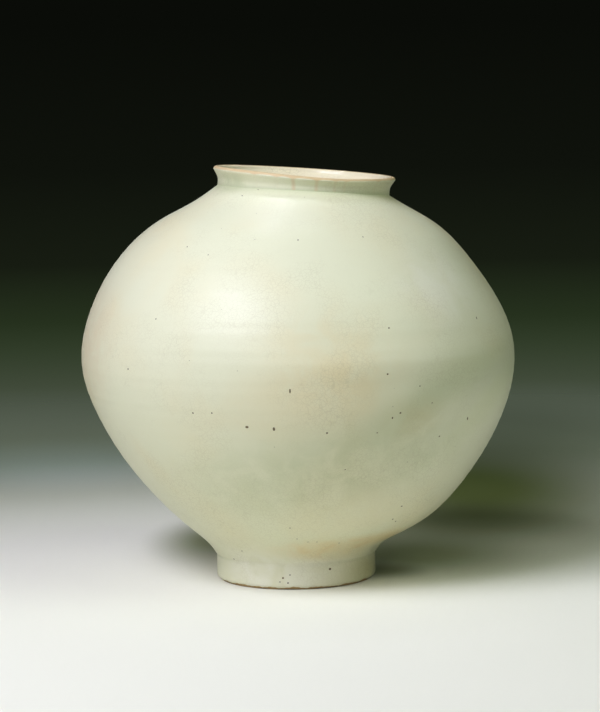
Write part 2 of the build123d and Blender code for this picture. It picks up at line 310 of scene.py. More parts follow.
class MoonJarStudio(bpy.types.PropertyGroup):
    """The plain studio."""

    paper: colour("Floor", "Pale paper floor near the jar", "f3f3e9")
    # Painted shade: the paper takes this colour away from the jar, where less light reaches
    far_paper: colour("Far floor", "The same paper where it darkens, away from the jar", "838d76")
    shadow: colour("Shadow", "What is left of the paper's colour in the heart of the jar's shadow", "788454")
    # Painted light: the far floor on the left is divided by this colour, which makes it lighter and bluer
    painted_far_light: colour("Haze", "What is missing from the light where the far floor is palest, on the left", "e3dfce")
    key: lamp_power("Key lamp", "Soft lamp at the upper left", 32)
    right: lamp_power("Right lamp", "Large soft lamp at the upper right, in front", 13.2)
    left: lamp_power("Left lamp", "Soft lamp low on the left", 3)
    top: lamp_power("Top lamp", "Small narrow lamp over the mouth", 0.034)
    rim: lamp_power("Rim lamp", "Narrow lamp behind on the right", 0.4)
    low: lamp_power("Low lamp", "Low narrow lamp in front, on the foot", 0.1)
    air: share("Air", "Light from all round", 0.02, 2.0)


def smooth(low, high, value):
    """0 below low, 1 above high, and 3 t squared minus 2 t cubed in between."""
    t = np.clip((value - low) / (high - low), 0, 1)
    return t * t * (3 - 2 * t)


def band(value, start, full, fade, end):
    """0 up to start, rising smoothly to 1 at full, and falling from fade to 0 at end."""
    return smooth(start, full, value) * (1 - smooth(fade, end, value))


def bell(value, middle, reach):
    """1 at the middle, falling to both sides as e to the minus (distance / reach) squared."""
    return np.exp(-(((value - middle) / reach) ** 2))


def turn_from_front(points, shift):
    """The angle round an upright axis moved this far to the right: zero at the front, positive to the right."""
    return np.arctan2(points[..., 0] - shift, -points[..., 1])


def curve_through(knots, values, where):
    """The natural cubic spline through values at the knots, read where asked.

    Its second derivatives M solve h0 M0 + 2 (h0 + h1) M1 + h1 M2 = 6 (slope1 - slope0) at each inner knot, and are
    zero at both ends.
    """
    knots, values = np.asarray(knots, float), np.asarray(values, float)
    step = np.diff(knots)
    slope = np.diff(values, axis=0) / step[:, None]
    inner = np.arange(1, len(knots) - 1)
    system = np.eye(len(knots))
    system[inner, inner - 1] = step[:-1]
    system[inner, inner] = 2 * (step[:-1] + step[1:])
    system[inner, inner + 1] = step[1:]
    change = np.zeros_like(values)
    change[1:-1] = 6 * np.diff(slope, axis=0)
    bend = np.linalg.solve(system, change)
    span = np.clip(np.searchsorted(knots, where, "right") - 1, 0, len(step) - 1)
    t, h = (where - knots[span])[:, None], step[span][:, None]
    first = slope[span] - h * (2 * bend[span] + bend[span + 1]) / 6
    return values[span] + t * (first + t * (bend[span] / 2 + t * (bend[span + 1] - bend[span]) / (6 * h)))


def body_levels(form):
    """The outline's levels over the glaze, as rows of height, radius, shift and lean."""
    height, swell, shift, lean = OUTLINE.T
    end = np.where(np.arange(len(OUTLINE)) <= SEAM_ROW, form.foot / 2, form.neck / 2)
    radius = end + (form.belly / 2 - end) * swell
    return np.column_stack([form.foot_height + form.body * height, radius, form.shift * shift, form.lean * lean])


def moved_in(form, depth, seam_depth, end_depth):
    """The levels moved in square to the outline, by depth, and by their own depths at the seam and flat at the ends.

    The outline's slope at a level is that of the line through its two neighbours.
    """
    levels = body_levels(form)
    slope = np.arctan2(levels[2:, 1] - levels[:-2, 1], levels[2:, 0] - levels[:-2, 0])
    wall = np.full(len(slope), depth)
    wall[SEAM_ROW - 1] = seam_depth
    climb, lean = wall * np.sin(slope), levels[1:-1, 3]
    levels[1:-1, 1] -= wall * np.cos(slope)
    levels[1:-1, 0] += climb * np.cos(lean)
    levels[1:-1, 2] += climb * np.sin(lean)
    levels[[0, -1], 1] -= end_depth
    return levels


def hollow_levels(form, walls, coat):
    """The levels of the inside with a coat on it: a flat floor, then the wall up to the neck."""
    levels = moved_in(form, *(walls.glaze + wall + coat for wall in (walls.bowl, walls.seam, walls.collar)))
    floor = (walls.recess + walls.glaze + walls.floor + coat, walls.floor_radius - coat, 0, 0)
    return np.vstack([floor, levels[FLOOR_ROW:]])


def chord_length(levels):
    """How far along the profile's chords each level is."""
    return np.concatenate([[0], np.cumsum(np.hypot(*np.diff(levels[:, :2], axis=0).T))])


def skin(levels, count, first=0.0, last=1.0):
    """Rings on the smooth surface through the levels, from one share of its length to another.

    A ring is (shift, height, lean, radius, lift): a circle lifted off a leaning plane. The levels are joined by a
    spline along their profile's chord length.
    """
    run = chord_length(levels)
    where = run[-1] * np.linspace(first, last, count)
    height, radius, shift, lean = curve_through(run, levels, where).T
    return np.column_stack([shift, height, lean, radius, 0 * radius])


def share_at(levels, row):
    """How far along the levels' profile one of them is, as a share of its chord length."""
    run = chord_length(levels)
    return run[row] / run[-1]


def aim():
    """The camera's axes, as columns: level to the right, then dipped about that, then rolled about its own line."""
    dipped = Matrix.Rotation(pi / 2 - EYE_DIP, 3, "X") @ Matrix.Rotation(EYE_ROLL, 3, "Z")
    return np.array(dipped)


def rings_on(plane, radii, lifts):
    """Rings of these radii and lifts on one plane, given as (shift, height, lean)."""
    radii, lifts = np.broadcast_arrays(np.asarray(radii, float), np.asarray(lifts, float))
    return np.column_stack([np.tile(plane, (len(radii), 1)), radii, lifts])


def plane_of(levels, row):
    """The plane of one level, as (shift, height, lean)."""
    return levels[row, [2, 0, 3]]


def on_rings(rings, turn):
    """Points at an angle round each ring: centre + radius (cos X' + sin Y) + lift Z', where X' and Z' lean together."""
    shift, height, lean, radius, lift = np.moveaxis(rings, -1, 0)
    across, deep = radius * np.cos(turn), radius * np.sin(turn)
    return np.stack(
        [
            shift + across * np.cos(lean) + lift * np.sin(lean),
            deep + 0 * across,
            height - across * np.sin(lean) + lift * np.cos(lean),
        ],
        axis=-1,
    )


def settle(points, form):
    """The marks of the wheel and the kiln, as one smooth move of space that every coat and wall follows alike.

    Out from the axis: a fold across the belly's right front, low waves round the belly, and fine throwing rings. Up
    and down: the nod of the neck and of the lip, in proportion to the distance behind the axis, and the lip's dip.
    """
    x, y, z = np.moveaxis(points, -1, 0)
    from_axis = np.hypot(x - form.shift * BELLY_SHIFT, y)
    turn = turn_from_front(points, form.shift * BELLY_SHIFT)
    side = np.degrees(turn)
    floor, above = (MM * curve_through(FOLD_COURSE[:, 0], FOLD_COURSE[:, 1:], side.ravel()).T).reshape(2, *z.shape)
    fold = -form.fold * band(side, *FOLD_SIDES) * bell(z, floor, np.where(z > floor, above, FOLD_LOWER_REACH))
    fold += form.ridge * band(side, *RIDGE_SIDES) * bell(z, RIDGE_HEIGHT, RIDGE_REACH)
    waves = form.warp * sum(size * np.sin(times * turn + start + climb * z) for size, times, start, climb in WAVES)
    wide, narrow = (2 * pi * z / (step * MM) for step in RING_STEPS)
    rings = form.rings * (np.sin(wide + 0.6 * np.sin(turn)) + 0.6 * np.sin(narrow + turn))
    belly = band(z, 35 * MM, 110 * MM, 345 * MM, 385 * MM)
    out = smooth(30 * MM, 80 * MM, from_axis) * (fold + belly * (waves + rings))
    top = form.foot_height + form.body
    behind = y / (form.neck / 2)
    up = -form.seat_nod * behind * smooth(top - 35 * MM, top, z) * (1 - smooth(100 * MM, 160 * MM, from_axis))
    sag = form.dip * bell(side, 30, 50)
    up += ((form.nod + form.seat_nod) * behind - sag) * smooth(top - 4 * MM, top + 0.95 * form.collar, z)
    return np.stack([x + out * np.sin(turn), y - out * np.cos(turn), z + up], axis=-1)


def net(rows, columns, closed=False):
    """Faces over a grid of points whose columns close round, and fans from its last and first rows to their poles.

    Point (i, j) has number i * columns + j, and the two poles have the next numbers, the last row's first. Rows run up
    the outside, and columns anticlockwise seen from above, so that faces point outwards. A closed grid also joins its
    last row to its first.
    """
    number = np.arange(rows * columns).reshape(rows, columns)
    ahead = np.roll(number, -1, axis=1)
    pairs = [(grid, np.roll(grid, -1, axis=0)) if closed else (grid[:-1], grid[1:]) for grid in (number, ahead)]
    (low, high), (low_ahead, high_ahead) = pairs
    fours = np.stack([low, low_ahead, high_ahead, high], axis=-1).reshape(-1, 4)
    last = np.column_stack([np.full(columns, number.size), number[-1], ahead[-1]])
    first = np.column_stack([np.full(columns, number.size + 1), ahead[0], number[0]])
    return fours, last, first


def shell(name, rings, columns, form, closed=True, move=None, **attributes):
    """A closed mesh whose cross-section is a row of rings, carried all the way round the axis.

    The point in row i and column j is on_rings(rings[i], 2 pi j / columns), settled. Rows run up the outside and down
    the inside. A closed section joins its last row to its first; an open one ends in a pole at both ends. Each
    attribute is a function of the settled points and the rings, whose values the poles don't take.
    """
    rings, turn = np.vstack(rings), np.arange(columns) * 2 * pi / columns
    grid = on_rings(rings[:, None, :], turn[None, :])
    if move is not None:
        grid = move(grid, turn)
    grid = settle(grid, form)
    points = grid.reshape(-1, 3)
    fours, last, first = net(len(rings), columns, closed)
    threes = np.empty((0, 3), int) if closed else np.vstack([last, first])
    if not closed:
        points = np.vstack([points, grid[-1].mean(axis=0), grid[0].mean(axis=0)])
    piece = placed(name, points, fours, threes)
    for label, values in attributes.items():
        spread = np.zeros(len(points), np.float32)
        spread[: len(rings) * columns] = np.broadcast_to(values(grid, rings), grid.shape[:2]).ravel()
        piece.data.attributes.new(label, "FLOAT", "POINT").data.foreach_set("value", spread)
    return piece


def placed(name, points, fours, threes):
    """An object at the origin, with a mesh of these points, four-cornered faces and three-cornered faces."""
    if not np.isfinite(points).all():
        raise ValueError(f"{name} has points that aren't numbers")
    mesh = bpy.data.meshes.new(name)
    corners = np.concatenate([fours.ravel(), threes.ravel()]).astype(np.int32)
    sizes = np.concatenate([np.full(len(fours), 4), np.full(len(threes), 3)])
    mesh.vertices.add(len(points))
    mesh.vertices.foreach_set("co", points.astype(np.float32).ravel())
    mesh.loops.add(len(corners))
    mesh.loops.foreach_set("vertex_index", corners)
    mesh.polygons.add(len(sizes))
    mesh.polygons.foreach_set("loop_start", (np.cumsum(sizes) - sizes).astype(np.int32))
    mesh.polygons.foreach_set("use_smooth", np.ones(len(sizes), bool))
    mesh.update(calc_edges=True)
    mesh.set_sharp_from_angle(angle=SHARP)
    return linked(name, mesh)


def linked(name, data):
    """An object with this mesh, lamp or camera, in the scene."""
    thing = bpy.data.objects.new(name, data)
    bpy.context.scene.collection.objects.link(thing)
    return thing


def dress(piece, node, material):
    """Puts a piece in the place of the node that it stands for."""
    piece.data.materials.append(material)
    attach(piece, "root")
    if node:
        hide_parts(node)


def scored(middle, spacing, depth, half_width=0.8 * MM):
    """Across a joint's land from outside to inside: radii and heights of V ridges, spacing apart about the middle."""
    centres = middle + (spacing / 2 * np.array([1, -1]) if spacing else np.zeros(1))
    radii = (centres[:, None] + half_width * np.array([1, 0, -1])).ravel()
    return radii, np.tile([0, depth, 0], len(centres))


def seam_land(form, walls, side):
    """The rings of the seam's land from outside to inside, on its upper side (1) or its lower side (-1)."""
    levels = body_levels(form)
    radii, ridges = scored(form.belly / 2 - walls.glaze - walls.seam / 2, 5 * MM, 1 * MM)
    return rings_on(plane_of(levels, SEAM_ROW), radii, side * (walls.slip / 2 + ridges))


def collar_land(form, walls, top):
    """The rings of the collar's land from outside to inside, on the slip's upper side or its lower side."""
    middle = form.neck / 2 - walls.glaze - walls.collar / 2
    radii, ridges = scored(middle, 0, 0.8 * MM)
    lifts = walls.slip + ridges if top else -ridges
    return rings_on(plane_of(body_levels(form), -1), radii, lifts)


def collar_wall(form, walls, coat, outer, start, count=16):
    """Rings up the collar's outside to the crest of its lip, or down its inside from the crest.

    The wall's middle stands upright and then flares: its radius goes as the knee (t - a + sqrt((t - a)^2 + e^2)) / 2.
    Its thickness tapers from the seat to the lip, and the lip is half a circle.
    """
    lip_half, seat_half = walls.lip / 2, walls.collar / 2
    lip_level = form.collar - walls.glaze - lip_half

    def knee(t):
        return (t - 0.48 + np.sqrt((t - 0.48) ** 2 + 0.2**2)) / 2

    t = np.linspace(start / lip_level, 1, count)
    seat_middle = form.neck / 2 - walls.glaze - seat_half
    lip_middle = form.neck / 2 + form.flare - walls.glaze - lip_half
    middle = seat_middle + (lip_middle - seat_middle) * (knee(t) - knee(0)) / (knee(1) - knee(0))
    half = seat_half + (lip_half - seat_half) * t + coat
    arc = np.linspace(0, pi / 2, 8)[1:]
    turn_radius = lip_half + coat
    side = 1 if outer else -1
    radii = np.concatenate([middle + side * half, lip_middle + side * turn_radius * np.cos(arc)])
    lifts = np.concatenate([t * lip_level, lip_level + turn_radius * np.sin(arc)])
    rings = rings_on(plane_of(body_levels(form), -1), radii, lifts)
    return rings if outer else rings[::-1]


def collar_lift(form, rings):
    """How far each ring lies over the collar's seat, as a column, and -1 for the rings of the body."""
    return np.where(rings[:, 1] > form.foot_height + form.body - MM, rings[:, 4], -1)[:, None]


def worn_radius(form, walls, height):
    """The foot's outer radius under its glaze: upright, then worn back in a curve of arc ^ 1.15 below the bevel's top.

    The curve leaves the standing face at a slope and ends upright, as bevel (1 - sin ^ 0.9) of the arc.
    """
    arc = np.clip(height / walls.bevel_height, 0, 1) ** (1 / 1.15)
    return form.foot / 2 - walls.glaze - walls.bevel * (1 - np.sin(arc * pi / 2) ** 0.9)


def bumps(seed, count, fastest):
    """A smooth seeded wave round a ring, between about -1 and 1: a sum of sines of the angle."""
    rng = np.random.default_rng(seed)
    speeds = rng.integers(2, fastest, count)
    phases = rng.uniform(0, 2 * pi, count)
    return lambda turn: np.sin(turn[..., None] * speeds + phases).sum(axis=-1) / np.sqrt(count)


def add_node(tree, kind, *values, out=None, **named):
    """Adds a node with its settings and links, and gives its first output in use, or the one asked for.

    Values go to the inputs in use, in order. A name with a capital is an input's, and one without is a setting's.
    """
    node = tree.nodes.new("ShaderNode" + kind)
    for name in filter(str.islower, named):
        setattr(node, name, named[name])
    inputs = list(zip([socket for socket in node.inputs if socket.enabled], values))
    inputs += [(node.inputs[name], value) for name, value in named.items() if not name.islower()]
    for socket, value in inputs:
        if isinstance(value, bpy.types.NodeSocket):
            tree.links.new(value, socket)
        else:
            socket.default_value = value
    return node.outputs[out] if out else next((socket for socket in node.outputs if socket.enabled), node)


def new_material(name):
    """An empty material, the call that adds a node to it, and the object's own coordinates."""
    material = bpy.data.materials.new(name)
    material.use_nodes = True
    material.node_tree.nodes.clear()
    add = partial(add_node, material.node_tree)
    return material, add, add("TexCoord", out="Object")


def solid(rgb):
    """A colour with its alpha."""
    return (*rgb, 1.0)


def scaled(rgb, by):
    """A darker or lighter colour."""
    return [min(1, value * by) for value in rgb]


def layered(add, tint, layers):
    """A colour with others over it in turn, each as strongly as its mask says, mixed in unless said otherwise."""
    tone = solid(tint)
    for mask, over, *how in layers:
        tone = add("Mix", mask, tone, solid(over), data_type="RGBA", blend_type=how[0] if how else "MIX")
    return tone


def patch(add, place, centre, size):
    """1 at a place, falling to 0 at an ellipsoid about it: the length of (place - centre) / size, in millimetres."""
    offset = add("VectorMath", place, [c * MM for c in centre], operation="SUBTRACT")
    far = add("VectorMath", add("VectorMath", offset, [s * MM for s in size], operation="DIVIDE"), operation="LENGTH")
    return add("MapRange", far, 0.1, 1.0, 1.0, 0.0, **SMOOTHLY)


def crackle(add, place, size, width):
    """1 along the cracks of a net of cells of this size, 0 off them: the distance to the nearest cell wall."""
    wobble = add("TexNoise", place, Scale=0.6 / size, Detail=2.0, out="Color")
    moved = add("VectorMath", wobble, (0.5, 0.5, 0.5), operation="SUBTRACT")
    moved = add("VectorMath", moved, Scale=size * 1.1, operation="SCALE")
    edge = add("TexVoronoi", add("VectorMath", place, moved, **PLUS), Scale=1 / size, feature="DISTANCE_TO_EDGE")
    return add("MapRange", edge, width * 0.25 / size, width / size, 1.0, 0.0, **SMOOTHLY)


def looked_at(add):
    """1 for what the eye sees, straight or by gloss or through glass, and 0 for the light that falls on things."""
    seen = add("LightPath").node.outputs
    by_eye = add("Math", seen["Is Camera Ray"], seen["Is Glossy Ray"], **LARGER)
    return add("Math", by_eye, seen["Is Transmission Ray"], **LARGER)


def glaze_material(name, finish, inside=False):
    """Porcelain glaze: a clear, faintly green, crackled glass over white clay.

    It reads as a soft satin white: the glass gives a broad dim highlight, its colour wanders between green and cream
    where the fire was stronger, it burns tan where it is thin, and its crackle holds soil.
    """
    material, add, place = new_material(name)
    thin = add("Attribute", attribute_name="thin", out="Fac")
    pooled = add("Attribute", attribute_name="pooled", out="Fac")
    # By their real sizes: drifts of the fire's warmth, clouds in the glass, and its orange peel
    drift = add("TexNoise", place, Scale=1 / (130 * MM), Detail=2.0, Distortion=0.4)
    cloudy = add("TexNoise", place, Scale=1 / (32 * MM), Detail=4.0, Roughness=0.55, Distortion=0.6)
    peel = add("TexNoise", place, Scale=1 / (6 * MM), Detail=3.0, Roughness=0.6)
    warm = add("MapRange", drift, 0.40, 0.68, **SMOOTHLY)
    warm = add("Math", warm, add("MapRange", cloudy, 0.25, 0.7, 0.55, 1.0, **SMOOTHLY), **TIMES)
    layers = [(add("Math", warm, 0.75, **TIMES), finish.cream)]
    if inside:
        layers.append((add("MapRange", cloudy, 0.2, 0.8, 0.55, 1.0, **SMOOTHLY), finish.inside))
    # Pooled glaze, and on the outside the painted shade along the fold, in the pool's colour
    layers.append((add("Math", pooled, 0.8, **TIMES), finish.pool))
    # On the outside, tinted places, among them painted light and painted shade
    if not inside:
        ragged = add("MapRange", cloudy, 0.28, 0.66, 0.25, 1.0, **SMOOTHLY)
        for centre, size, tint, strength in GLAZE_PATCHES:
            mask = add("Math", patch(add, place, centre, size), ragged, **TIMES)
            layers.append((add("Math", mask, strength, **TIMES), getattr(finish, tint)))
    # The crackle holds soil in places. It is about a tenth of a millimetre wide: it is drawn twice as wide and fainter
    soiled = add("TexNoise", place, Scale=1 / (70 * MM), Detail=3.0, Roughness=0.6)
    soiled = add("MapRange", soiled, 0.42, 0.66, 0.1, 1.0, **SMOOTHLY)
    if not inside:
        lower = add("Math", patch(add, place, *SOILED_PLACE), 0.9, **TIMES)
        soiled = add("Math", soiled, lower, **LARGER)
    wide_net = add("Math", crackle(add, place, 8.5 * MM, 0.28 * MM), 0.55, **TIMES)
    small_net = add("Math", crackle(add, place, 3.4 * MM, 0.22 * MM), 0.6, **TIMES)
    net = add("Math", wide_net, small_net, **LARGER)
    lines = add("Math", add("Math", net, soiled, **TIMES), 0.45 if inside else 0.28, **TIMES)
    # Pinholes: one dark point in some cells of a net of 16 mm
    cells = add("TexVoronoi", place, Scale=1 / (16 * MM), feature="F1").node.outputs
    chosen = add("MapRange", add("SeparateColor", cells["Color"]), 0.72, 0.74, **SMOOTHLY)
    hole = add("Math", add("MapRange", cells["Distance"], 0.018, 0.04, 1.0, 0.0, **SMOOTHLY), chosen, **TIMES)
    burnt = add("Math", thin, add("Math", cloudy, 0.35, **TIMES), **PLUS)
    burnt = add("MapRange", burnt, 0.45, 1.1, **SMOOTHLY)
    layers += [(lines, finish.crackle), (add("Math", hole, 0.55, **TIMES), finish.spot), (burnt, finish.lip)]
    rough = add("Math", add("Math", cloudy, 0.6, **TIMES), add("Math", peel, 0.4, **TIMES), **PLUS)
    rough = add("MapRange", rough, 0.3, 0.7, 0.4, 0.5, **SMOOTHLY)
    rough = add("Math", rough, add("Math", burnt, 0.6, **TIMES), **LARGER)
    # Waves of the molten glaze, 14 mm and 6 mm long, then the sunk crackle and pinholes
    waves = add("TexNoise", place, Scale=1 / (14 * MM), Detail=2.0)
    waves = add("Math", add("Math", peel, 0.25, **TIMES), waves, **PLUS)
    wavy = add("Bump", Strength=0.35, Distance=0.3 * MM, Height=waves)
    sunk = add("Math", add("Math", net, 0.25, **TIMES), hole, **LARGER)
    pitted = add("Bump", Strength=0.5, Distance=0.2 * MM, Height=add("Math", sunk, -1.0, **TIMES), Normal=wavy)
    glass = {
        "Base Color": layered(add, finish.glaze, layers),
        "Roughness": rough,
        "IOR": 1.48,
        "Specular IOR Level": 0.5,
        "Coat Weight": 0.5 if inside else finish.sheen,
        "Coat Roughness": 0.12 if inside else 0.3,
        "Normal": pitted,
    }
    add("OutputMaterial", add("BsdfPrincipled", **glass))
    return material


def clay_material(name, tint, finish, grit, soil_height=0.0):
    """Fired porcelain clay without glaze: a dry, matt, sandy biscuit.

    It reads as chalky: no highlight, fine grains of sand a little lighter and darker than the clay, and, on the
    foot, soil and kiln sand rubbed into the edge it stands on.
    """
    material, add, place = new_material(name)
    cloudy = add("TexNoise", place, Scale=1 / (20 * MM), Detail=4.0, Roughness=0.6)
    sand = add("TexNoise", place, Scale=1 / grit, Detail=3.0, Roughness=0.7)
    layers = [
        (add("MapRange", cloudy, 0.3, 0.7, 0.0, 0.5, **SMOOTHLY), scaled(tint, 0.8)),
        (add("MapRange", sand, 0.52, 0.68, 0.0, 0.35, **SMOOTHLY), scaled(tint, 1.35)),
    ]
    if soil_height:
        uneven = add("Math", add("Math", cloudy, 0.5, operation="SUBTRACT"), 4 * MM, **TIMES)
        height = add("Math", add("SeparateXYZ", place, out="Z"), uneven, **PLUS)
        layers.append((add("MapRange", height, 0.0, soil_height, 0.9, 0.0, **SMOOTHLY), finish.soil))
    biscuit = {
        "Base Color": layered(add, tint, layers),
        "Roughness": add("MapRange", sand, 0.3, 0.7, 0.8, 0.95, **SMOOTHLY),
        "IOR": 1.5,
        "Specular IOR Level": 0.3,
        "Normal": add("Bump", Strength=0.6, Distance=0.3 * MM, Height=sand),
    }
    add("OutputMaterial", add("BsdfPrincipled", **biscuit))
    return material


def spot_material(name, finish):
    """An iron spot: a fleck of iron that melted and burst through the glaze, dark brown and half glassy.

    It reads as a small dull brown point with a rusty edge.
    """
    material, add, place = new_material(name)
    mottle = add("TexNoise", place, Scale=1 / (1.1 * MM), Detail=2.0)
    rust = [(add("MapRange", mottle, 0.35, 0.7, **SMOOTHLY), scaled(finish.spot, 3.2))]
    iron = {
        "Base Color": layered(add, finish.spot, rust),
        "Roughness": add("MapRange", mottle, 0.3, 0.7, 0.45, 0.7, **SMOOTHLY),
        "IOR": 1.5,
    }
    add("OutputMaterial", add("BsdfPrincipled", **iron))
    return material


def paper_material(name, studio):
    """Studio paper: a matt, pale sheet with painted shade, darker away from the jar, that fades out into the backdrop's
    light.
    """
    material, add, place = new_material(name)
    grain = add("TexNoise", place, Scale=1 / (4 * MM), Detail=2.0)
    from_lit = add("VectorMath", place, LIT_MIDDLE, **PLUS)
    away = add("VectorMath", from_lit, operation="LENGTH")
    layers = [
        (add("MapRange", grain, 0.3, 0.7, 0.0, 0.03, **SMOOTHLY), scaled(studio.paper, 0.85)),
        # Painted shade: the paper darkens away from the middle of its lit part
        (add("MapRange", away, 0.52, 1.4, **SMOOTHLY), studio.far_paper),
    ]
    # Painted shadow round the jar, and painted light on the far left
    for centre, size, tint, strength, how in FLOOR_PATCHES:
        mask = add("Math", patch(add, place, centre, size), strength, **TIMES)
        layers.append((mask, getattr(studio, tint), how))
    tone = layered(add, studio.paper, layers)
    paper = add("BsdfDiffuse", Color=tone, Roughness=0.5)
    lit = add("AddShader", paper, add("Emission", Color=tone, Strength=0.02))
    direct = looked_at(add)
    sheet = add("MixShader", direct, paper, lit)
    faded = add("Math", add("MapRange", away, 1.1, 3.4, **SMOOTHLY), direct, **TIMES)
    add("OutputMaterial", add("MixShader", faded, sheet, add("BsdfTransparent")))
    return material


def settings():
    """The sizes, walls, finishes and studio as they are set in the sidebar."""
    return [getattr(bpy.context.scene, name) for name in GROUPS]


class Step:
    """A step of the making: an operator that hands the settings to its make()."""

    def execute(self, context):
        self.make(*settings())
        return {"FINISHED"}


class MOONJAR_OT_bowls(Step, bpy.types.Operator):
    """Throw the two bowls and the slip that lutes them rim to rim"""

    bl_idname = "moonjar.bowls"
    bl_label = "Bowls and Seam"

    def make(self, form, walls, finish, _):
        clay = moved_in(form, walls.glaze, walls.glaze, walls.glaze)
        hollow = hollow_levels(form, walls, 0)
        at_seam, in_seam = share_at(clay, SEAM_ROW), share_at(hollow, SEAM_ROW - FLOOR_ROW + 1)
        near = 0.006  # the share of the skin that the seam's corners take up
        plane = plane_of(body_levels(form), SEAM_ROW)
        outer, inner = form.belly / 2 - walls.glaze, form.belly / 2 - walls.glaze - walls.seam
        half = walls.slip / 2
        socket = form.foot / 2 - walls.glaze - walls.foot
        boss, boss_low = socket - walls.slip, walls.recess + walls.glaze
        lower = [
            rings_on(GROUND, [boss * 0.3, boss * 0.7, boss], boss_low),
            rings_on(GROUND, [boss], form.foot_height),
            skin(clay, 70, 0, at_seam - near),
            rings_on(plane, [outer], -half),
            seam_land(form, walls, -1),
            rings_on(plane, [inner], -half),
            skin(hollow, 60, 0, in_seam - near)[::-1],
            rings_on(GROUND, [walls.floor_radius * 0.6, walls.floor_radius * 0.2], hollow[0, 0]),
        ]
        upper = [
            rings_on(plane, [outer], half),
            skin(clay, 60, at_seam + near, 1),
            collar_land(form, walls, False),
            skin(hollow, 50, in_seam + near, 1)[::-1],
            rings_on(plane, [inner], half),
            seam_land(form, walls, 1)[::-1],
        ]
        slip = [
            rings_on(plane, [outer, outer], [-half, half]),
            seam_land(form, walls, 1),
            rings_on(plane, [inner, inner], [half, -half]),
            seam_land(form, walls, -1)[::-1],
        ]
        body = clay_material("white_porcelain_body", finish.body, finish, BODY_GRIT)
        paste = clay_material("joining_slip", finish.slip, finish, SLIP_GRIT)
        dress(shell("lower_bowl_thrown", lower, ROUND_BOWL, form, closed=False), "lower_bowl", body)
        dress(shell("upper_bowl_thrown", upper, ROUND_BOWL, form), "upper_bowl", body)
        dress(shell("belly_slip_luted", slip, ROUND_BOWL, form), "belly_slip", paste)


class MOONJAR_OT_collar(Step, bpy.types.Operator):
    """Turn the mouth collar and lute it on the upper bowl"""

    bl_idname = "moonjar.collar"
    bl_label = "Mouth Collar"

    def make(self, form, walls, finish, _):
        outer = form.neck / 2 - walls.glaze
        inner = outer - walls.collar
        plane = plane_of(body_levels(form), -1)
        collar = [
            collar_wall(form, walls, 0, True, walls.slip),
            collar_wall(form, walls, 0, False, walls.slip)[1:],
            collar_land(form, walls, True)[::-1],
        ]
        slip = [
            rings_on(plane, [outer, outer], [0, walls.slip]),
            collar_land(form, walls, True),
            rings_on(plane, [inner, inner], [walls.slip, 0]),
            collar_land(form, walls, False)[::-1],
        ]
        body = clay_material("collar_porcelain_body", finish.body, finish, BODY_GRIT)
        paste = clay_material("collar_joining_slip", finish.slip, finish, SLIP_GRIT)
        dress(shell("mouth_collar_turned", collar, ROUND_SMALL, form), "mouth_collar", body)
        dress(shell("collar_slip_luted", slip, ROUND_SMALL, form), "collar_slip", paste)


class MOONJAR_OT_foot(Step, bpy.types.Operator):
    """Turn the foot ring, wear its edge, and lute it round the lower bowl's boss"""

    bl_idname = "moonjar.foot"
    bl_label = "Foot Ring"

    def make(self, form, walls, finish, _):
        outer = form.foot / 2 - walls.glaze
        socket, boss_low = outer - walls.foot, walls.recess + walls.glaze
        boss, top = socket - walls.slip, form.foot_height - walls.slip
        edge = walls.bevel_height * np.linspace(0, 1, 12) ** 1.15
        ring = [
            rings_on(GROUND, worn_radius(form, walls, edge), edge),
            rings_on(GROUND, np.full(8, outer), np.linspace(walls.bevel_height, top, 9)[1:]),
            rings_on(GROUND, [socket], top),
            rings_on(GROUND, [socket, socket + 1.2 * MM, socket + 2 * MM], [boss_low, 6 * MM, 1.4 * MM]),
            rings_on(GROUND, [socket + 2.5 * MM, socket + 3.4 * MM], [0.5 * MM, 0]),
        ]
        across = [boss, socket, socket, outer, outer, boss]
        slip = [rings_on(GROUND, across, np.repeat([boss_low, top, form.foot_height], 2))]
        chips, nicks = bumps(3, 14, 60), bumps(5, 10, 150)

        def wear(grid, turn):
            """Takes the bevel in by uneven amounts, most at half its height and nothing on the standing face."""
            x, y, z = np.moveaxis(grid, -1, 0)
            radius = np.hypot(x, y)
            at_edge = bell(z, 2 * MM, 2.2 * MM) * (radius > socket + 5 * MM)
            depth = MM * at_edge * np.clip(0.12 + 0.12 * chips(turn) + 0.06 * nicks(turn), 0, 0.5)
            return np.stack([x * (1 - depth / radius), y * (1 - depth / radius), z], axis=-1)

        bare = clay_material("bare_foot_clay", finish.bare_clay, finish, FOOT_GRIT, soil_height=1.1 * MM)
        paste = clay_material("foot_joining_slip", finish.slip, finish, SLIP_GRIT)
        dress(shell("foot_ring_turned", ring, ROUND_OUTSIDE, form, move=wear), "foot_ring", bare)
        dress(shell("foot_slip_luted", slip, ROUND_SMALL, form), "foot_slip", paste)


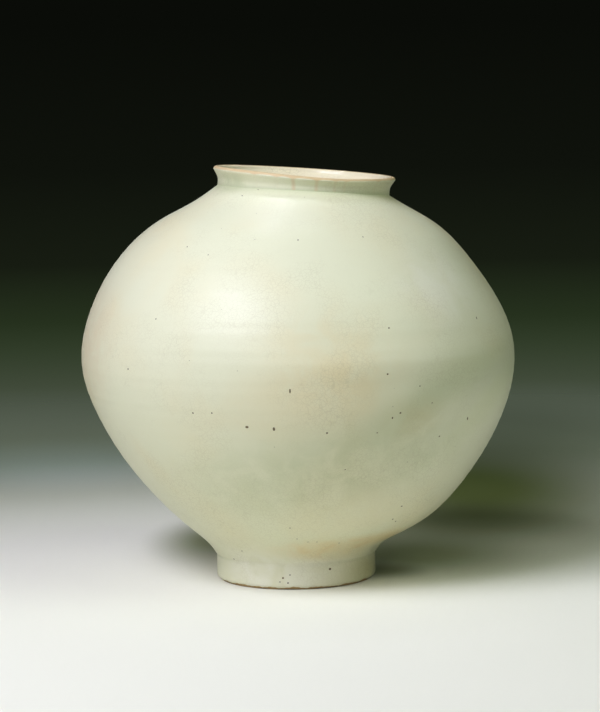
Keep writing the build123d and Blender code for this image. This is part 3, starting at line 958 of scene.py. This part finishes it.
class MOONJAR_OT_outer_glaze(Step, bpy.types.Operator):
    """Pour the glaze over the outside, from the foot's bare edge to the crest of the lip"""

    bl_idname = "moonjar.outer_glaze"
    bl_label = "Outer Glaze"

    def make(self, form, walls, finish, _):
        levels = body_levels(form)
        under = moved_in(form, walls.glaze, walls.glaze, walls.glaze)
        outer, edge, seat = form.foot / 2, walls.bare, form.foot_height
        thread = np.array([-1.6, -0.9, -0.45, 0, 0.45, 0.9, 1.6]) * MM
        depth = walls.groove * bell(thread, 0, 0.8 * MM)
        rise = np.concatenate([[0, 0.15, 0.7, 1.6, 2.6, 3.8], np.linspace(5.5, (seat - edge) / MM - 2.2, 8)]) * MM
        coat = walls.glaze * smooth(-0.5 * MM, 0.8 * MM, rise)
        rings = [
            rings_on(GROUND, worn_radius(form, walls, edge + rise) + coat, edge + rise),
            rings_on(GROUND, outer - depth, seat + thread),
            skin(levels, 168, 0.006, 1),
            collar_wall(form, walls, walls.glaze, True, 0.8 * MM, 18),
            # The hidden side, against the clay
            collar_wall(form, walls, 0, True, 0, 9)[::-1],
            skin(under, 34)[::-1][1:],
            rings_on(GROUND, worn_radius(form, walls, edge + rise[-1:0:-2]), edge + rise[-1:0:-2]),
        ]
        runs, drips = bumps(11, 12, 40), bumps(12, 8, 90)

        def run_down(grid, turn):
            """Ends the glaze in an uneven line at the foot, up to 1.2 mm higher or lower, along the worn edge."""
            x, y, z = np.moveaxis(grid, -1, 0)
            low = (1 - smooth(edge, edge + 8 * MM, z)) * (z < seat)
            moved = z + MM * low * (0.55 * runs(turn) + 0.3 * drips(turn))
            grow = 1 + (worn_radius(form, walls, moved) - worn_radius(form, walls, z)) * low / np.hypot(x, y)
            return np.stack([x * grow, y * grow, moved], axis=-1)

        def thin(grid, rings):
            """1 at the crest of the lip, fading over 4 mm, and weaker streaks down the collar."""
            lift = collar_lift(form, rings)
            side = np.degrees(turn_from_front(grid, form.shift))
            streaks = sum(strength * bell(side, at, STREAK_WIDTH) for at, strength in STREAKS)
            rim = smooth(form.collar - 4 * MM, form.collar - 1 * MM, lift)
            return np.clip(rim + STREAK_SHARE * streaks * (lift > 0.2 * MM), 0, 1)

        def pooled(grid, rings):
            """Pooled glaze under the collar and in the turned line over the foot, and painted shade down the fold."""
            side = np.degrees(turn_from_front(grid, form.shift * BELLY_SHIFT))
            middle = MM * np.interp(side, FOLD_SHADE_ANGLES, FOLD_SHADE_HEIGHTS)
            # Painted shade in a band along the fold
            slope = bell(grid[..., 2], middle, 24 * MM) * band(side, *FOLD_SHADE_SIDES)
            height = (rings[:, 1] + rings[:, 4])[:, None]
            near_collar = bell(height, form.foot_height + form.body + 0.5 * MM, 3.2 * MM)
            return np.clip(0.7 * near_collar + 0.3 * bell(height, seat, 1.2 * MM) + 0.75 * slope, 0, 1)

        glass = glaze_material("crackled_pale_glaze", finish)
        piece = shell("outer_glaze_fired", rings, ROUND_OUTSIDE, form, move=run_down, thin=thin, pooled=pooled)
        dress(piece, "outer_glaze", glass)


class MOONJAR_OT_inner_glaze(Step, bpy.types.Operator):
    """Pour the glaze inside, from the crest of the lip down over the floor"""

    bl_idname = "moonjar.inner_glaze"
    bl_label = "Inner Glaze"

    def make(self, form, walls, finish, _):
        coated = hollow_levels(form, walls, walls.glaze)
        bare = hollow_levels(form, walls, 0)
        floor = walls.floor_radius
        rings = [
            rings_on(GROUND, floor * np.array([0.2, 0.6]), bare[0, 0]),
            skin(bare, 44),
            collar_wall(form, walls, 0, False, 0, 9)[::-1][1:],
            collar_wall(form, walls, walls.glaze, False, 0.5 * MM, 14),
            skin(coated, 110)[::-1],
            rings_on(GROUND, floor * np.array([0.8, 0.6, 0.4, 0.2]), coated[0, 0]),
        ]

        def thin(grid, rings):
            """1 at the crest of the lip, fading over 1 mm down the inside."""
            return smooth(form.collar - 1 * MM, form.collar, collar_lift(form, rings))

        def pooled(grid, rings):
            """1 on the floor, where the glaze poured in has gathered."""
            return 1 - smooth(walls.recess + walls.floor, 60 * MM, rings[:, 1])[:, None]

        glass = glaze_material("aged_inner_glaze", finish, inside=True)
        piece = shell("inner_glaze_fired", rings, ROUND_INSIDE, form, closed=False, thin=thin, pooled=pooled)
        dress(piece, "inner_glaze", glass)


class MOONJAR_OT_base_glaze(Step, bpy.types.Operator):
    """Glaze the recess under the foot"""

    bl_idname = "moonjar.base_glaze"
    bl_label = "Base Glaze"

    def make(self, form, walls, finish, _):
        socket = form.foot / 2 - walls.glaze - walls.foot
        coat, deep, low = walls.glaze, walls.recess, 5 * MM
        open_by = 1.45 * MM
        inner = np.array([0.12, 0.3, 0.5, 0.7, 0.85, 0.95]) * (socket - coat)
        wall = np.linspace(0, 1, 6)
        rings = [
            rings_on(GROUND, inner, deep),
            rings_on(GROUND, [socket - coat], deep),
            rings_on(GROUND, socket - coat + open_by * wall[1:], deep + (low - deep) * wall[1:]),
            rings_on(GROUND, socket + open_by * wall[::-1], deep + coat + (low - deep - coat) * wall[::-1]),
            rings_on(GROUND, inner[::-1] * socket / (socket - coat), deep + coat),
        ]

        def thin(grid, rings):
            """1 at the coat's lower edge, fading over 2 mm."""
            return 1 - smooth(low, low + 2 * MM, rings[:, 4])[:, None]

        def pooled(grid, rings):
            """1 in the recess's corner."""
            return bell(rings[:, 3], socket - coat, 4 * MM)[:, None] * 0.7

        glass = glaze_material("base_glaze_glass", finish)
        piece = shell("base_glaze_fired", rings, ROUND_SMALL, form, closed=False, thin=thin, pooled=pooled)
        dress(piece, "base_glaze", glass)


class MOONJAR_OT_iron_spots(Step, bpy.types.Operator):
    """Scatter the iron spots that burst through the outer glaze"""

    bl_idname = "moonjar.iron_spots"
    bl_label = "Iron Spots"

    def make(self, form, walls, finish, _):
        rng = np.random.default_rng(SPOT_SEED)
        fine = skin(body_levels(form), 900)
        foot = rings_on(GROUND, np.full(60, form.foot / 2), np.linspace(5 * MM, form.foot_height, 60))
        foot[:, 1], foot[:, 4] = foot[:, 4], 0
        fine = np.vstack([foot[:-1], fine])
        shift, _, lean, radius, _ = fine.T

        def level_at(height, across):
            """The level whose leaning plane passes a true height this far across: height + across sin(lean)."""
            level = height
            for _ in range(3):
                level = height + across * np.sin(np.interp(level, fine[:, 1], lean))
            return level

        def surface(turn, height):
            """Where the outer surface is at an angle and a true height."""
            level = level_at(height, np.interp(height, fine[:, 1], radius) * np.cos(turn))
            ring = np.stack([np.interp(level, fine[:, 1], fine[:, k]) for k in range(5)], axis=-1)
            return settle(on_rings(ring, turn), form)

        def seen_at(right, down):
            """The angle and true height at which the camera's ray through a pixel first meets the jar.

            The ray is stepped along, and it meets the jar where its distance from the level's axis falls below the
            level's radius.
            """
            u, v = right - FRAME[0] / 2, FRAME[1] / 2 - down
            ray = np.column_stack([u, v, np.full(len(u), -EYE_LENS)]) @ aim().T
            ray /= np.linalg.norm(ray, axis=1, keepdims=True)
            along = np.linspace(2.0, 2.6, 2400)
            x, y, z = np.moveaxis(np.array(EYE) + along[:, None, None] * ray, -1, 0)
            level = level_at(z, x - np.interp(z, fine[:, 1], shift))
            across = x - np.interp(level, fine[:, 1], shift)
            inside = np.hypot(across, y) < np.interp(level, fine[:, 1], radius)
            first = inside.argmax(axis=0), np.arange(len(u))
            return np.arctan2(y[first], across[first]), z[first]

        # The front's own spots, then others round the rest of the jar
        right, down, wide, tall = FRONT_SPOTS.T
        turn, height = seen_at(right, down)
        turn = np.concatenate([turn, rng.uniform(0.05, pi - 0.05, OTHER_SPOTS)])
        height = np.concatenate([height, rng.uniform(SPOTS_LOW, SPOTS_HIGH, OTHER_SPOTS)])
        size = rng.gamma(2.2, 0.28, OTHER_SPOTS) * MM + 0.5 * MM
        wide = np.concatenate([wide * MM, size])
        tall = np.concatenate([tall * MM, size * rng.uniform(0.8, 1.6, OTHER_SPOTS)])
        centre = surface(turn, height)
        around = surface(turn + 0.004, height) - centre
        upward = surface(turn, height + 0.8 * MM) - centre
        around /= np.linalg.norm(around, axis=1, keepdims=True)
        out = np.cross(around, upward)
        out /= np.linalg.norm(out, axis=1, keepdims=True)
        upward = np.cross(out, around)
        # Each spot is a flat ellipsoid, half sunk: centre + a cos u sin v A + b sin u sin v B + c cos v N
        belts, spokes = 4, 10
        u = np.arange(spokes) * 2 * pi / spokes
        v = np.linspace(pi, 0, belts + 2)[1:-1, None]
        flat = np.stack([np.cos(u) * np.sin(v), np.sin(u) * np.sin(v), np.cos(v) + 0 * u], axis=-1).reshape(-1, 3)
        flat = np.vstack([flat, [(0, 0, 1), (0, 0, -1)]])
        sizes = np.stack([wide / 2, tall / 2, np.full(len(wide), 0.09 * MM)], axis=-1)
        axes = np.stack([around, upward, out], axis=1)
        points = centre[:, None] + np.einsum("pk,nk,nkc->npc", flat, sizes, axes)
        fours, last, first = net(belts, spokes)
        start = np.arange(len(points))[:, None, None] * len(flat)
        fours, threes = (start + fours).reshape(-1, 4), (start + np.vstack([last, first])).reshape(-1, 3)
        spots = placed("iron_spots", points.reshape(-1, 3), fours, threes)
        dress(spots, None, spot_material("iron_spot_glass", finish))


class MOONJAR_OT_studio(Step, bpy.types.Operator):
    """Set the floor, the backdrop, the lamps and the camera"""

    bl_idname = "moonjar.studio"
    bl_label = "Studio"

    def make(self, form, walls, finish, studio):
        scene = bpy.context.scene
        self.lay_floor(studio)
        self.light_air(scene, studio)
        for name, (place, target, size, tint, spread) in LAMPS.items():
            self.hang(f"{name}_lamp", getattr(studio, name), place, target, size, tint, spread)
        self.aim_camera(scene)
        scene.view_settings.view_transform = "Standard"

    def lay_floor(self, studio):
        """A disc of rings and spokes just under the foot, from the outside in: (r cos a, r sin a) at radius r."""
        r, spokes = np.array([4.0, 2.4, 1.2, 0.5, 0.1])[:, None], 64
        a = np.arange(spokes) * 2 * pi / spokes
        points = np.stack([r * np.cos(a), r * np.sin(a), 0 * r * a], axis=-1).reshape(-1, 3)
        points = np.vstack([points, GROUND]) - [0, 0, 0.05 * MM]
        floor = placed("paper_floor", points, *net(len(r), spokes)[:2])
        floor.data.materials.append(paper_material("studio_paper", studio))

    def light_air(self, scene, studio):
        """Even air for matt surfaces, and for the eye and for gloss a backdrop that darkens from the floor up."""
        world = bpy.data.worlds.new("studio_air")
        scene.world = world
        world.use_nodes = True
        world.node_tree.nodes.clear()
        add = partial(add_node, world.node_tree)
        up = add("SeparateXYZ", add("TexCoord", out="Generated"), out="Z")
        ramp = add("ValToRGB", add("MapRange", up, BACKDROP_FROM, BACKDROP_TO))
        colours = ramp.node.color_ramp.elements
        while len(colours) < len(BACKDROP):
            colours.new(0.5)
        for element, (position, code) in zip(colours, BACKDROP):
            element.position, element.color = position, solid(linear(code))
        backdrop = add("Background", Color=ramp, Strength=1.0)
        air = add("Background", Color=solid(linear("f4f6f4")), Strength=studio.air)
        add("OutputWorld", add("MixShader", looked_at(add), air, backdrop))

    def hang(self, name, power, place, target, size, tint, spread):
        """A soft rectangular lamp that faces a point, and lights so many degrees about that line."""
        lamp = bpy.data.lights.new(name, "AREA")
        lamp.shape, lamp.size, lamp.size_y, lamp.energy = "RECTANGLE", size[0], size[1], power
        lamp.color, lamp.spread = linear(tint), radians(spread)
        back = np.array(place, float) - np.array(target, float)
        back /= np.linalg.norm(back)
        right = np.cross((0, 0, 1), back)
        right /= np.linalg.norm(right)
        turned = np.eye(4)
        turned[:3] = np.column_stack([right, np.cross(back, right), back, place])
        linked(name, lamp).matrix_world = Matrix(turned.tolist())

    def aim_camera(self, scene):
        """A long lens 2.4 m in front, looking 5.1 degrees down, and rolled 0.9 degrees."""
        camera = bpy.data.cameras.new("camera")
        camera.sensor_width, camera.lens = SENSOR, EYE_LENS * SENSOR / FRAME[1]
        camera.clip_start, camera.clip_end = 0.05, 50
        scene.camera = linked("camera", camera)
        scene.camera.matrix_world = Matrix.Translation(EYE) @ Matrix(aim().tolist()).to_4x4()


STEPS = (
    MOONJAR_OT_bowls,
    MOONJAR_OT_collar,
    MOONJAR_OT_foot,
    MOONJAR_OT_outer_glaze,
    MOONJAR_OT_inner_glaze,
    MOONJAR_OT_base_glaze,
    MOONJAR_OT_iron_spots,
    MOONJAR_OT_studio,
)


class MOONJAR_PT_panel(bpy.types.Panel):
    """The jar's steps and settings in the sidebar"""

    bl_idname = "MOONJAR_PT_panel"
    bl_label = "Moon Jar"
    bl_space_type = "VIEW_3D"
    bl_region_type = "UI"
    bl_category = "Moon Jar"

    def draw(self, context):
        for step in STEPS:
            self.layout.operator(step.bl_idname)
        for group in settings():
            box = self.layout.box()
            for key in group.bl_rna.properties.keys():
                if key not in ("rna_type", "name"):
                    box.prop(group, key)


GROUPS = {
    "moon_jar_form": MoonJarForm,
    "moon_jar_walls": MoonJarWalls,
    "moon_jar_finish": MoonJarFinish,
    "moon_jar_studio": MoonJarStudio,
}


def register():
    for kind in (*GROUPS.values(), *STEPS, MOONJAR_PT_panel):
        bpy.utils.register_class(kind)
    for name, kind in GROUPS.items():
        setattr(bpy.types.Scene, name, PointerProperty(type=kind))


def unregister():
    for name in GROUPS:
        delattr(bpy.types.Scene, name)
    for kind in reversed((*GROUPS.values(), *STEPS, MOONJAR_PT_panel)):
        bpy.utils.unregister_class(kind)


def main():
    """Builds the whole scene."""
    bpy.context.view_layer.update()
    register()
    for step in STEPS:
        group, name = step.bl_idname.split(".")
        if getattr(getattr(bpy.ops, group), name)() != {"FINISHED"}:
            raise RuntimeError(f"{step.bl_label} did not finish")


if __name__ == "__main__":
    main()
